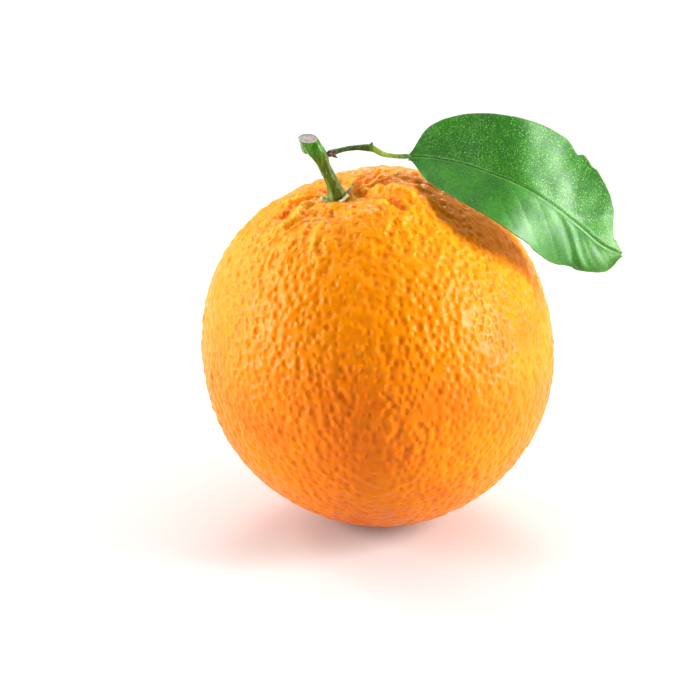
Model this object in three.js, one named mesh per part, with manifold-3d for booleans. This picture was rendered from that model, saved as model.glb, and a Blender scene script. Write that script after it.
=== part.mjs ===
// A fresh orange, as picked: one whole fruit, the five-lobed calyx on its stem end, a cut length of green
// stem, and a side twig that carries a single leaf.
//
// Millimetres, +Z up. The fruit rests on a small flat spot in the plane Z = 0, its centre above the origin.
// Its stem end leans a little towards -X and -Y, and the leaf reaches out towards +X.

import * as THREE from "three";
import { mergeVertices } from "three/addons/utils/BufferGeometryUtils.js";
import Module from "manifold-3d";

// ---- Driving dimensions ----

const EQUATOR_RADIUS = 41;
const POLE_RADIUS = 42.5; // half the fruit's length, before the dimples at its two ends
const REST_DEPTH = 0.35; // how deep the resting spot is flattened
const STEM_AXIS = new THREE.Vector3(-0.238, -0.145, 0.96).normalize();
const GAP = 0.3; // clear space between pieces that touch in life

// The rind. Spreads, reaches and polar places are angles from the stem end or the blossom end, in radians.
const STEM_DIMPLE = { depth: 4.5, spread: 0.24 };
const SHOULDER = { height: 0.3, polar: 0.4, spread: 0.15, lift: 1.4, heading: 5.6 };
const BLOSSOM_DIMPLE = { depth: 0.9, spread: 0.085 };
const BLOSSOM_SCAR = { height: 0.5, spread: 0.04 };
const FURROWS = {
  count: 13,
  wander: 0.3, // how far a furrow may lie from its even place, as a share of their spacing
  bend: 0.5,
  depth: 0.8,
  deeperBehind: 0.35,
  width: 1.15,
  start: 0.1,
  reach: 0.8,
};
// The main ridges and valleys round the calyx, each through places given as [polar, azimuth].
const FOLDS = [
  { height: 0.9, width: 1.5, path: [[0.08, 2.9], [0.155, 3.1], [0.26, 3.55], [0.34, 3.62], [0.55, 3.6]] },
  { height: -0.9, width: 1.2, path: [[0.1, 2.6], [0.125, 2.6], [0.24, 2.9], [0.31, 3.27], [0.5, 3.26]] },
  { height: 0.7, width: 1.3, path: [[0.1, 2.3], [0.15, 2.37], [0.21, 2.74], [0.32, 2.69], [0.55, 2.55]] },
  { height: -0.9, width: 1.2, path: [[0.09, 0.63], [0.15, 0.75], [0.23, 0.94], [0.29, 0.95], [0.5, 0.95]] },
  { height: 0.7, width: 1.1, path: [[0.09, 0.2], [0.11, 0.2], [0.18, 0.3], [0.255, 0.43], [0.42, 0.24]] },
  { height: 0.8, width: 1.2, path: [[0.08, 0.08], [0.17, 0.05], [0.25, -0.18], [0.36, -0.4], [0.55, -0.43]] },
  { height: -0.8, width: 1.2, path: [[0.1, -0.3], [0.21, -0.5], [0.34, -0.67], [0.4, -0.67], [0.55, -0.67]] },
  { height: 0.6, width: 1.3, path: [[0.06, -0.2], [0.18, -0.5], [0.32, -0.82], [0.4, -0.83], [0.55, -0.83]] },
];
const FOLD_FADE = 0.08; // how long a fold takes to die away before the last place of its path
const LUMPS = [
  { around: 1, height: 0.45, turn: 5.77 },
  { around: 2, height: 0.31, turn: 3.38 },
  { around: 3, height: 0.6, turn: 2.96 },
  { around: 5, height: 0.8, turn: 0.18 },
];

const CALYX = {
  lobes: 5,
  bluntness: 0.8, // under 1 makes the lobes broader than the bays between them
  reach: 4.5,
  waist: 0.6, // reach between two lobes, as a share of a lobe's
  lift: 0.38, // clear of the rind
  skew: 0.13, // how much further it reaches at the back than at the front
  thickness: 0.9,
  edge: 0.65,
  curl: 1.7,
  heading: 0.4, // azimuth of the lobe that curls up most
};

// Routes are centrelines, given from the fruit's centre. Radii and widths are evenly spaced along them.
const STEM_ROUTE = [
  [-10.5, -5.7, 41.4],
  [-12.3, -5.7, 45.1],
  [-13.4, -5.9, 47.4],
  [-14.7, -5.9, 49.5],
  [-16.1, -5.8, 51.5],
  [-17.9, -5.7, 54.1],
];
const STEM_RADII = [1.75, 1.62, 1.48, 1.42, 1.75, 2.05, 1.75, 1.5];
const STEM_CUT = { point: [-16.1, -5.8, 51.5], facing: [-0.07, -0.32, 0.95] };
// The swelling that the twig grows from.
const NODE = { share: 0.53, swelling: 0.3, radius: 1.1, length: 1.9, aside: 0.75 };
const LEAF_SCAR = { share: 0.72, aside: 1.75, radius: 0.7, length: 1.5 }; // on the side away from the twig

const TWIG_HEADING = new THREE.Vector3(0.9, -0.02, 0.43).normalize(); // as it leaves the stem
const TWIG_ROUTE = [
  [-9.2, -5.7, 48.6],
  [-6.1, -5.4, 49.2],
  [-1.9, -5.5, 49.2],
  [0.9, -5.5, 47.8],
  [4.2, -5.2, 47.2],
  [6.2, -5.2, 47.2],
];
const TWIG_RADII = [0.8, 0.56, 0.58, 0.6, 0.8, 0.64, 0.52, 0.5, 0.56];
const TWIG_BUD = {
  share: 0.53,
  radius: 0.42,
  length: 0.85,
  at: [0.1, 0, 0.75],
  pointing: [0.3, 0, 0.95],
};
const TWIG_SCALES = [
  { radius: 0.36, length: 1.0, at: [1.15, -0.3, -0.45], pointing: [0.85, -0.25, -0.45] },
  { radius: 0.34, length: 0.9, at: [1.2, -0.5, 0.45], pointing: [0.85, -0.35, 0.4] },
  { radius: 0.34, length: 0.8, at: [1.0, 0.45, 0.6], pointing: [0.8, 0.3, 0.5] },
];

const LEAF_ROUTE = [
  [6.55, -5.2, 47.2],
  [11.5, -6.2, 47.3],
  [18.2, -8.1, 46.4],
  [24.9, -10.4, 44.6],
  [31.7, -11.8, 41.9],
  [38.45, -12.7, 38.1],
  [44.85, -12.3, 33.3],
  [50.3, -10.9, 28.5],
  [55.1, -8.9, 25.5],
];
const LEAF_FACING = new THREE.Vector3(0.04, -0.84, 0.54).normalize(); // the way its upper face looks
const LEAF_UPPER_WIDTHS = [0.5, 6.8, 10.5, 12.6, 13.9, 14.8, 14.3, 11.9, 9.0, 6.1, 0.5]; // midrib to margin
const LEAF_LOWER_WIDTHS = [0.5, 5.0, 7.7, 9.2, 10.3, 11.3, 11.9, 11.6, 9.5, 6.3, 0.5];
const LEAF_EDGE = 0.5; // the least width from midrib to margin, at the base and the tip
const LEAF_FOLD = { upper: 0.14, lower: 0.2, full: 0.15 }; // how far each half rises, in radians
const NOTCH_FLANKS = { towardsBase: 0.035, towardsTip: 0.012 }; // as shares of the leaf's length
const LEAF_NOTCHES = [
  { share: 0.61, side: 1, depth: 1.2 },
  { share: 0.67, side: 1, depth: 0.5 },
  { share: 0.94, side: 1, depth: 0.8 },
  { share: 0.62, side: -1, depth: 0.35 },
  { share: 0.8, side: -1, depth: 0.4 },
];
const LEAF_THICKNESS = 0.7;
const MIDRIB = { depth: 0.5, width: 0.9, taper: 0.8 }; // it stands out of the underside
const RUFFLE = { height: 1.2, waves: 2.6, turn: 0.8, sideTurn: 1.7, start: 0.25, full: 0.9 };

// How finely each body is faceted. Crowding draws rows together at a globe's ends or a leaf's midrib.
const RIND_GRID = { columns: 78, rows: 46, crowding: 0.16 };
const CALYX_GRID = { rings: 5, columnsPerLobe: 10 };
const STEM_GRID = { steps: 24, sides: 18 };
const TWIG_GRID = { steps: 32, sides: 12 };
const BUMP_GRID = { columns: 10, rows: 8 };
const LEAF_GRID = { rows: 44, columns: 14, crowding: 1.25 };

const UP = new THREE.Vector3(0, 0, 1);
const TAU = 2 * Math.PI;
const { smoothstep, lerp, clamp } = THREE.MathUtils;

const wasm = await Module();
wasm.setup();

// ---- Helpers ----

const vector = (xyz) => new THREE.Vector3(...xyz);

// A smooth hill of height 1 at the centre, and close to 0 past twice the spread.
const hill = (distance, spread) => Math.exp(-((distance / spread) ** 2));

// The value at a share of the way along evenly spaced values, joined by a smooth curve.
function along(values, share) {
  const curve = new THREE.SplineCurve(values.map((value, i) => new THREE.Vector2(i, value)));
  return curve.getPoint(share).y;
}

function routeThrough(points) {
  return new THREE.CatmullRomCurve3(points, false, "catmullrom", 0.5);
}

function solidOf(geometry) {
  const shell = new THREE.BufferGeometry()
    .setAttribute("position", geometry.getAttribute("position"))
    .setIndex(geometry.index);
  const merged = mergeVertices(shell, 1e-3);
  return new wasm.Manifold(
    new wasm.Mesh({
      numProp: 3,
      vertProperties: merged.getAttribute("position").array,
      triVerts: new Uint32Array(merged.index.array),
    }),
  );
}

function geometryOf(solid) {
  const { vertProperties, triVerts } = solid.getMesh();
  const geometry = new THREE.BufferGeometry()
    .setAttribute("position", new THREE.BufferAttribute(vertProperties, 3))
    .setIndex(new THREE.BufferAttribute(triVerts, 1));
  geometry.computeVertexNormals();
  return geometry;
}

// What is left of a solid behind a plane. All that lies on the side its normal points to is cut away.
function cutBehind(solid, point, normal) {
  const size = 4 * EQUATOR_RADIUS;
  const cutter = new THREE.BoxGeometry(size, size, size)
    .translate(0, 0, size / 2)
    .applyQuaternion(new THREE.Quaternion().setFromUnitVectors(UP, normal))
    .translate(point.x, point.y, point.z);
  return solid.subtract(solidOf(cutter));
}

// A closed body of round sections along a route: a lathe of radius against length, bent to follow the route.
function bodyAlong(route, radii, steps, sides) {
  const shares = Array.from({ length: steps + 1 }, (_, i) => i / steps);
  const profile = [
    new THREE.Vector2(0, 0),
    ...shares.map((share) => new THREE.Vector2(along(radii, share), share)),
    new THREE.Vector2(0, 1),
  ];
  const geometry = new THREE.LatheGeometry(profile, sides);
  const { normals, binormals } = route.computeFrenetFrames(steps, false);
  const position = geometry.getAttribute("position");
  for (let i = 0; i < position.count; i++) {
    const step = Math.round(position.getY(i) * steps);
    const point = route
      .getPointAt(step / steps)
      .addScaledVector(normals[step], position.getX(i))
      .addScaledVector(binormals[step], -position.getZ(i));
    position.setXYZ(i, point.x, point.y, point.z);
  }
  return geometry;
}

// A small rounded bump, longer along its own Z, turned to point one way.
function bump(radius, length, centre, pointing) {
  return solidOf(
    new THREE.SphereGeometry(radius, BUMP_GRID.columns, BUMP_GRID.rows)
      .rotateX(Math.PI / 2)
      .scale(1, 1, length / radius)
      .applyQuaternion(new THREE.Quaternion().setFromUnitVectors(UP, pointing))
      .translate(centre.x, centre.y, centre.z),
  );
}

function meshOf(name, geometry, colour, roughness) {
  const mesh = new THREE.Mesh(
    geometry,
    new THREE.MeshStandardMaterial({ color: colour, roughness, metalness: 0 }),
  );
  mesh.name = name;
  return mesh;
}

// ---- The fruit, in its own frame: centre at the origin, stem end towards +Z ----

// How far aside of a line of one heading a place on the rind lies.
function asideOf(heading, polar, azimuth) {
  const turned = azimuth - heading;
  return Math.atan2(Math.sin(turned), Math.cos(turned)) * Math.sin(polar) * EQUATOR_RADIUS;
}

// Furrows run out from the calyx. Sines of its number give each its own heading, bend, depth and reach.
function furrowDepth(polar, azimuth) {
  let depth = 0;
  for (let k = 0; k < FURROWS.count; k++) {
    const evenPlace = k + FURROWS.wander * Math.sin(2.4 * k);
    const heading = (TAU * evenPlace) / FURROWS.count + FURROWS.bend * Math.sin(1.9 * k) * polar;
    const aside = asideOf(heading, polar, azimuth);
    const reach = FURROWS.reach * (0.75 + 0.25 * Math.sin(3.1 * k + 0.5));
    const begin = smoothstep(polar, FURROWS.start, 2 * FURROWS.start);
    const end = 1 - smoothstep(polar, 0.35 * reach, reach);
    const strength = 0.75 + 0.25 * Math.sin(1.3 * k + 1) + FURROWS.deeperBehind * Math.sin(heading);
    depth += FURROWS.depth * strength * begin * end * hill(aside, FURROWS.width);
  }
  return depth;
}

// The azimuth of a fold's middle line at a polar angle: straight from place to place, steady past its ends.
function foldHeading(path, polar) {
  const after = path.findIndex(([place]) => place > polar);
  if (after === 0) return path[0][1];
  if (after < 0) return path.at(-1)[1];
  const [[from, fromHeading], [to, toHeading]] = path.slice(after - 1, after + 1);
  return lerp(fromHeading, toHeading, (polar - from) / (to - from));
}

function foldHeight(polar, azimuth) {
  return FOLDS.reduce((sum, { height, width, path }) => {
    const [start, fading, end] = [path[0][0], path.at(-2)[0] - FOLD_FADE, path.at(-1)[0]];
    const strength = smoothstep(polar, 0.5 * start, 1.5 * start) * (1 - smoothstep(polar, fading, end));
    return sum + height * strength * hill(asideOf(foldHeading(path, polar), polar, azimuth), width);
  }, 0);
}

function lumpHeight(polar, azimuth) {
  return LUMPS.reduce(
    (sum, { around, height, turn }) =>
      sum + height * Math.sin(around * azimuth + turn) * Math.sin(polar) ** around * Math.cos(polar + turn),
    0,
  );
}

function rindRadius(polar, azimuth) {
  const fromBlossom = Math.PI - polar;
  const body = 1 / Math.hypot(Math.sin(polar) / EQUATOR_RADIUS, Math.cos(polar) / POLE_RADIUS);
  const shoulderHeight = SHOULDER.height + SHOULDER.lift * Math.cos(azimuth - SHOULDER.heading);
  return (
    body +
    shoulderHeight * hill(polar - SHOULDER.polar, SHOULDER.spread) -
    STEM_DIMPLE.depth * hill(polar, STEM_DIMPLE.spread) -
    BLOSSOM_DIMPLE.depth * hill(fromBlossom, BLOSSOM_DIMPLE.spread) +
    BLOSSOM_SCAR.height * hill(fromBlossom, BLOSSOM_SCAR.spread) -
    furrowDepth(polar, azimuth) +
    foldHeight(polar, azimuth) +
    lumpHeight(polar, azimuth)
  );
}

// The point of the rind at two angles, lifted off it by a distance.
function rindPoint(polar, azimuth, lift = 0) {
  const radius = rindRadius(polar, azimuth) + lift;
  return new THREE.Vector3(
    radius * Math.sin(polar) * Math.cos(azimuth),
    radius * Math.sin(polar) * Math.sin(azimuth),
    radius * Math.cos(polar),
  );
}

// A globe with its rows closer together at the two ends, pushed out or in to the rind.
function rindGeometry() {
  const geometry = new THREE.SphereGeometry(1, RIND_GRID.columns, RIND_GRID.rows).rotateX(Math.PI / 2);
  const position = geometry.getAttribute("position");
  for (let i = 0; i < position.count; i++) {
    const even = Math.acos(clamp(position.getZ(i), -1, 1));
    const polar = even - RIND_GRID.crowding * Math.sin(2 * even);
    const point = rindPoint(polar, Math.atan2(position.getY(i), position.getX(i)));
    position.setXYZ(i, point.x, point.y, point.z);
  }
  return geometry;
}

const leanOfFruit = new THREE.Quaternion().setFromUnitVectors(UP, STEM_AXIS);
const leaningRind = rindGeometry().applyQuaternion(leanOfFruit);
leaningRind.computeBoundingBox();
const CENTRE = new THREE.Vector3(0, 0, -leaningRind.boundingBox.min.z - REST_DEPTH);

const fruitFrame = new THREE.Group();
fruitFrame.position.copy(CENTRE);
fruitFrame.quaternion.copy(leanOfFruit);
fruitFrame.updateMatrixWorld(true);

const fromCentre = (xyz) => vector(xyz).add(CENTRE);

function makeFruit() {
  const whole = solidOf(leaningRind.translate(0, 0, CENTRE.z));
  const resting = cutBehind(whole, new THREE.Vector3(0, 0, 0), UP.clone().negate());
  return meshOf("fruit", geometryOf(resting), 0xf08a0c, 0.38);
}

// ---- The calyx: a thin star that follows the dimple, with its lobes curled up towards one side ----

function makeCalyx() {
  const shares = Array.from({ length: CALYX_GRID.rings }, (_, i) => (i + 1) / CALYX_GRID.rings);
  const profile = [
    new THREE.Vector2(0, 0),
    ...shares.map((share) => new THREE.Vector2(share, 0)),
    ...shares.map((share) => new THREE.Vector2(share, 1)).reverse(),
    new THREE.Vector2(0, 1),
  ];
  const columns = CALYX_GRID.columnsPerLobe * CALYX.lobes;
  const geometry = new THREE.LatheGeometry(profile, columns).rotateX(Math.PI / 2);
  const position = geometry.getAttribute("position");
  for (let i = 0; i < position.count; i++) {
    const share = Math.hypot(position.getX(i), position.getY(i));
    const azimuth = Math.atan2(position.getY(i), position.getX(i));
    const turned = azimuth - CALYX.heading;
    const lobe = (0.5 + 0.5 * Math.cos(CALYX.lobes * turned)) ** CALYX.bluntness;
    const reach = CALYX.reach * lerp(CALYX.waist, 1, lobe) * (1 + CALYX.skew * Math.sin(azimuth));
    const curl = CALYX.curl * (0.5 + 0.5 * Math.cos(turned)) ** 2 * share ** 3 * lobe;
    const thickness = lerp(CALYX.thickness, CALYX.edge, share);
    const lift = CALYX.lift + curl + thickness * position.getZ(i);
    const point = rindPoint((share * reach) / POLE_RADIUS, azimuth, lift);
    position.setXYZ(i, point.x, point.y, point.z);
  }
  return meshOf("calyx", geometry, 0x7d8f3a, 0.6);
}

// ---- The stem, from the calyx to the slanted cut across its top ----

const stemFoot = fruitFrame.localToWorld(rindPoint(0, 0, CALYX.lift + CALYX.thickness + 2 * GAP));
const stemRoute = routeThrough([stemFoot, ...STEM_ROUTE.map(fromCentre)]);
const stemNode = stemRoute.getPointAt(NODE.share);

function makeStem() {
  const shaft = solidOf(bodyAlong(stemRoute, STEM_RADII, STEM_GRID.steps, STEM_GRID.sides));
  const shoulderPlace = stemNode.clone().addScaledVector(TWIG_HEADING, NODE.aside);
  const shoulder = bump(NODE.radius, NODE.length, shoulderPlace, stemRoute.getTangentAt(NODE.share));
  const scarPlace = stemRoute.getPointAt(LEAF_SCAR.share).addScaledVector(TWIG_HEADING, -LEAF_SCAR.aside);
  const scar = bump(LEAF_SCAR.radius, LEAF_SCAR.length, scarPlace, stemRoute.getTangentAt(LEAF_SCAR.share));
  const whole = shaft.add(shoulder).add(scar);
  const cut = cutBehind(whole, fromCentre(STEM_CUT.point), vector(STEM_CUT.facing).normalize());
  return meshOf("stem", geometryOf(cut), 0x5f7a1e, 0.5);
}

// ---- The twig: a thin side shoot with withered scales at its root and a bud halfway ----

const stemSide = along(STEM_RADII, NODE.share) + NODE.swelling;
const twigRoot = stemNode.clone().addScaledVector(TWIG_HEADING, stemSide + GAP);
const twigRoute = routeThrough([twigRoot, ...TWIG_ROUTE.map(fromCentre)]);

function makeTwig() {
  const shaft = solidOf(bodyAlong(twigRoute, TWIG_RADII, TWIG_GRID.steps, TWIG_GRID.sides));
  const budPlace = twigRoute.getPointAt(TWIG_BUD.share).add(vector(TWIG_BUD.at));
  const bud = bump(TWIG_BUD.radius, TWIG_BUD.length, budPlace, vector(TWIG_BUD.pointing).normalize());
  const scales = TWIG_SCALES.map(({ radius, length, at, pointing }) =>
    bump(radius, length, twigRoot.clone().add(vector(at)), vector(pointing).normalize()),
  );
  const whole = scales.reduce((body, scale) => body.add(scale), shaft.add(bud));
  return meshOf("twig", geometryOf(whole), 0x4f7a28, 0.5);
}

// ---- The leaf: a blade folded along its midrib, notched and waved towards its tip ----

const leafRoute = routeThrough(LEAF_ROUTE.map(fromCentre));

// From the midrib to the margin on one side. A notch is a shallow dip with its steep end towards the tip.
function leafWidth(share, side) {
  const width = along(side > 0 ? LEAF_UPPER_WIDTHS : LEAF_LOWER_WIDTHS, share);
  const dip = LEAF_NOTCHES.filter((notch) => notch.side === side).reduce((sum, notch) => {
    const past = share - notch.share;
    return sum + notch.depth * hill(past, past > 0 ? NOTCH_FLANKS.towardsTip : NOTCH_FLANKS.towardsBase);
  }, 0);
  return Math.max(width - dip, LEAF_EDGE);
}

// The point of the leaf's upper face. Share runs from base to tip, across from -1, the lower margin, to 1.
function leafFace(share, across) {
  const side = across > 0 ? 1 : -1;
  const heading = leafRoute.getTangent(share);
  const sideways = new THREE.Vector3().crossVectors(LEAF_FACING, heading).normalize();
  const facing = new THREE.Vector3().crossVectors(heading, sideways);
  const aside = across * leafWidth(share, side);
  const fold = (side > 0 ? LEAF_FOLD.upper : LEAF_FOLD.lower) * smoothstep(share, 0, LEAF_FOLD.full);
  const wave = Math.sin(TAU * RUFFLE.waves * share + RUFFLE.turn + RUFFLE.sideTurn * side);
  const ruffle = RUFFLE.height * across ** 2 * smoothstep(share, RUFFLE.start, RUFFLE.full) * wave;
  return leafRoute
    .getPoint(share)
    .addScaledVector(sideways, aside * Math.cos(fold))
    .addScaledVector(facing, ruffle + Math.abs(aside) * Math.sin(fold));
}

// The same point on the underside, behind the blade's thickness and the midrib that stands out of it.
function leafUnderside(share, across) {
  const step = 1e-3;
  const before = clamp(share - step, 0, 1 - 2 * step);
  const lengthways = leafFace(before + 2 * step, across).sub(leafFace(before, across));
  const inner = clamp(across - step, -1, 1 - 2 * step);
  const crossways = leafFace(share, inner + 2 * step).sub(leafFace(share, inner));
  const outwards = lengthways.cross(crossways).normalize();
  const ribDepth = MIDRIB.depth * (1 - MIDRIB.taper * share);
  const rib = ribDepth * hill(across * leafWidth(share, 1), MIDRIB.width);
  return leafFace(share, across).addScaledVector(outwards, -(LEAF_THICKNESS + rib));
}

// Two grids of points, split into triangles alike, and a strip round their rim.
function makeLeaf() {
  const { rows, columns, crowding } = LEAF_GRID;
  const perFace = (rows + 1) * (columns + 1);
  const positions = [];
  for (const face of [leafFace, leafUnderside]) {
    for (let row = 0; row <= rows; row++) {
      for (let column = 0; column <= columns; column++) {
        const even = (2 * column) / columns - 1;
        const across = Math.sign(even) * Math.abs(even) ** crowding;
        positions.push(...face(row / rows, across));
      }
    }
  }
  const index = [];
  const upper = (row, column) => row * (columns + 1) + column;
  const under = (row, column) => perFace + upper(row, column);
  const quad = (a, b, c, d) => index.push(a, b, c, a, c, d);
  for (let row = 0; row < rows; row++) {
    for (let column = 0; column < columns; column++) {
      const [r, c] = [row + 1, column + 1];
      quad(upper(row, column), upper(r, column), upper(r, c), upper(row, c));
      index.push(under(row, column), under(r, c), under(r, column));
      index.push(under(row, column), under(row, c), under(r, c));
    }
    quad(upper(row, 0), under(row, 0), under(row + 1, 0), upper(row + 1, 0));
    quad(upper(row + 1, columns), under(row + 1, columns), under(row, columns), upper(row, columns));
  }
  for (let column = 0; column < columns; column++) {
    quad(upper(0, column + 1), under(0, column + 1), under(0, column), upper(0, column));
    quad(upper(rows, column), under(rows, column), under(rows, column + 1), upper(rows, column + 1));
  }
  const geometry = new THREE.BufferGeometry()
    .setAttribute("position", new THREE.Float32BufferAttribute(positions, 3))
    .setIndex(index);
  geometry.computeVertexNormals();
  return meshOf("leaf", geometry, 0x3d8a2a, 0.45);
}

// ---- The whole orange ----

const orange = new THREE.Group();
fruitFrame.add(makeCalyx());
orange.add(makeFruit(), fruitFrame, makeStem(), makeTwig(), makeLeaf());

export default orange;
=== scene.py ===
# The finished looks of a fresh orange: the rind with its pits and furrows, the calyx, the cut stem, the twig
# and the leaf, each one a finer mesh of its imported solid. Lengths are in millimetres, but those of the floor,
# the lights and the places in materials are in metres.
import math
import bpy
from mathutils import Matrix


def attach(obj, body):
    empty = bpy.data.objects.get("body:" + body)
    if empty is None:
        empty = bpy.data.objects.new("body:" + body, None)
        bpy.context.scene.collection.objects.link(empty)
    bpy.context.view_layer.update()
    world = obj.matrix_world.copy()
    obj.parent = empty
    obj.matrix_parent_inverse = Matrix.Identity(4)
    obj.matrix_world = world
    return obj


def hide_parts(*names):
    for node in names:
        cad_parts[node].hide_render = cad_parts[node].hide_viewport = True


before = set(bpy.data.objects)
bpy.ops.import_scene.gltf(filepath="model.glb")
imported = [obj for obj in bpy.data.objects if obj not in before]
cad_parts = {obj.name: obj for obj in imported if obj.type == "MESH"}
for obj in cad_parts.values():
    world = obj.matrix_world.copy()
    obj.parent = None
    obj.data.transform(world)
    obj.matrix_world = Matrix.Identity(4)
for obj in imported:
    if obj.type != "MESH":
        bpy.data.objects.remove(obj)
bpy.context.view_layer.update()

from types import SimpleNamespace as Sizes

import bpy
import numpy as np
from mathutils import Vector, kdtree

MM = 0.001
TAU = 2 * math.pi
SPIRAL_STEP = 0.381966  # of a turn, from one point of an even spiral to the next
STEM_END = np.array([0.0, 0.0, 1.0])  # the way to the stem end, in the fruit's own frame


def unit(*xyz):
    vector = np.array(xyz, float)
    return vector / np.linalg.norm(vector)


# ---- The solids' own dimensions ----
# On the rind, polar is the angle from the stem end and azimuth the angle round it, in radians. The points of
# the routes are measured from the fruit's centre, along the part's axes.

EQUATOR_RADIUS = 41.0
POLE_RADIUS = 42.5
REST_DEPTH = 0.35
STEM_AXIS = unit(-0.238, -0.145, 0.96)

STEM_DIMPLE = Sizes(depth=4.5, spread=0.24)
SHOULDER = Sizes(height=0.3, polar=0.4, spread=0.15, lift=1.4, heading=5.6)
BLOSSOM_DIMPLE = Sizes(depth=0.9, spread=0.085)
BLOSSOM_SCAR = Sizes(height=0.5, spread=0.04)
FURROWS = Sizes(
    count=13, wander=0.3, bend=0.5, depth=0.8, deeper_behind=0.35, width=1.15, start=0.1, reach=0.8
)
# The main ridges and valleys round the calyx: height, width, then places as (polar, azimuth).
FOLDS = [
    (0.9, 1.5, [(0.08, 2.9), (0.155, 3.1), (0.26, 3.55), (0.34, 3.62), (0.55, 3.6)]),
    (-0.9, 1.2, [(0.1, 2.6), (0.125, 2.6), (0.24, 2.9), (0.31, 3.27), (0.5, 3.26)]),
    (0.7, 1.3, [(0.1, 2.3), (0.15, 2.37), (0.21, 2.74), (0.32, 2.69), (0.55, 2.55)]),
    (-0.9, 1.2, [(0.09, 0.63), (0.15, 0.75), (0.23, 0.94), (0.29, 0.95), (0.5, 0.95)]),
    (0.7, 1.1, [(0.09, 0.2), (0.11, 0.2), (0.18, 0.3), (0.255, 0.43), (0.42, 0.24)]),
    (0.8, 1.2, [(0.08, 0.08), (0.17, 0.05), (0.25, -0.18), (0.36, -0.4), (0.55, -0.43)]),
    (-0.8, 1.2, [(0.1, -0.3), (0.21, -0.5), (0.34, -0.67), (0.4, -0.67), (0.55, -0.67)]),
    (0.6, 1.3, [(0.06, -0.2), (0.18, -0.5), (0.32, -0.82), (0.4, -0.83), (0.55, -0.83)]),
]
FOLD_FADE = 0.08  # a fold starts to fade this much before its last place but one
LUMPS = [(1, 0.45, 5.77), (2, 0.31, 3.38), (3, 0.6, 2.96), (5, 0.8, 0.18)]  # around, height, turn

CALYX = Sizes(lobes=5, reach=4.5, waist=0.6, skew=0.13, lift=0.38, thickness=0.9, curl=1.7, heading=0.4)
GAP = 0.3  # between two solids that meet

STEM_ROUTE = [
    (-10.5, -5.7, 41.4), (-12.3, -5.7, 45.1), (-13.4, -5.9, 47.4),
    (-14.7, -5.9, 49.5), (-16.1, -5.8, 51.5), (-17.9, -5.7, 54.1),
]
STEM_RADII = [1.75, 1.62, 1.48, 1.42, 1.75, 2.05, 1.75, 1.5]
STEM_CUT = Sizes(point=(-16.1, -5.8, 51.5), facing=unit(-0.07, -0.32, 0.95))
NODE = Sizes(share=0.53, swelling=0.3)
LEAF_SCAR = Sizes(share=0.72, aside=1.75, radius=0.7, length=1.5)

TWIG_HEADING = unit(0.9, -0.02, 0.43)
TWIG_ROUTE = [
    (-9.2, -5.7, 48.6), (-6.1, -5.4, 49.2), (-1.9, -5.5, 49.2),
    (0.9, -5.5, 47.8), (4.2, -5.2, 47.2), (6.2, -5.2, 47.2),
]
TWIG_RADII = [0.8, 0.56, 0.58, 0.6, 0.8, 0.64, 0.52, 0.5, 0.56]
TWIG_BUD = Sizes(share=0.53, radius=0.42, length=0.85)
# The withered scales: radius, length, place from the twig's root, pointing.
TWIG_SCALES = [
    (0.36, 1.0, (1.15, -0.3, -0.45), (0.85, -0.25, -0.45)),
    (0.34, 0.9, (1.2, -0.5, 0.45), (0.85, -0.35, 0.4)),
    (0.34, 0.8, (1.0, 0.45, 0.6), (0.8, 0.3, 0.5)),
]

LEAF_ROUTE = [
    (6.55, -5.2, 47.2), (11.5, -6.2, 47.3), (18.2, -8.1, 46.4),
    (24.9, -10.4, 44.6), (31.7, -11.8, 41.9), (38.45, -12.7, 38.1),
    (44.85, -12.3, 33.3), (50.3, -10.9, 28.5), (55.1, -8.9, 25.5),
]
LEAF_FACING = unit(0.04, -0.84, 0.54)
LEAF_UPPER_WIDTHS = [0.5, 6.8, 10.5, 12.6, 13.9, 14.8, 14.3, 11.9, 9.0, 6.1, 0.5]
LEAF_LOWER_WIDTHS = [0.5, 5.0, 7.7, 9.2, 10.3, 11.3, 11.9, 11.6, 9.5, 6.3, 0.5]
LEAF_FOLD = Sizes(upper=0.14, lower=0.2)
# Each notch: its share of the way to the tip, its side and its depth.
LEAF_NOTCHES = [(0.61, 1, 1.2), (0.67, 1, 0.5), (0.94, 1, 0.8), (0.62, -1, 0.35), (0.8, -1, 0.4)]
RUFFLE = Sizes(height=1.2, waves=2.6, turn=0.8)

# ---- What the looks add ----
# Uneven relief is a sum of waves: "waves" gives their shortest and longest lengths.

RIND_SPLITS = 98  # each of the globe's 20 faces is split this many times along an edge
GATHERING = 0.3  # how much closer the rind's vertices stand at the stem end
PITS = Sizes(count=4900, depth=0.21, spread=0.88, sizes=(0.6, 1.3), start=(0.05, 0.15))
PEBBLES = Sizes(height=0.09, waves=(2.0, 3.8))
CRUMPLES = Sizes(height=0.3, waves=(2.2, 5.0), around=12.0, along=0.45)
WRINKLES = Sizes(count=37, depth=0.32, width=0.62, starts=(0.16, 0.3), reach=0.62)
FOLD_LOOK = Sizes(boost=1.4, narrowing=0.85)  # the folds stand taller and narrower than the solid's
WANDER = Sizes(aside=0.35, waves=(4, 9))  # how far folds and furrows stray from their lines
BREAKS = Sizes(share=0.3, waves=(3, 6))  # how unevenly high they are along them
COLLAR = Sizes(height=1.7, heading=-1.9, around=1.1, polar=0.11, spread=0.075)  # rind that rises by the calyx
STAR = Sizes(bluntness=0.55, lift=0.12, middle=0.85, edge=0.22, curl_heading=-0.1)

STEM_SUNK = 1.2  # how far its foot reaches into the calyx
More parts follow.
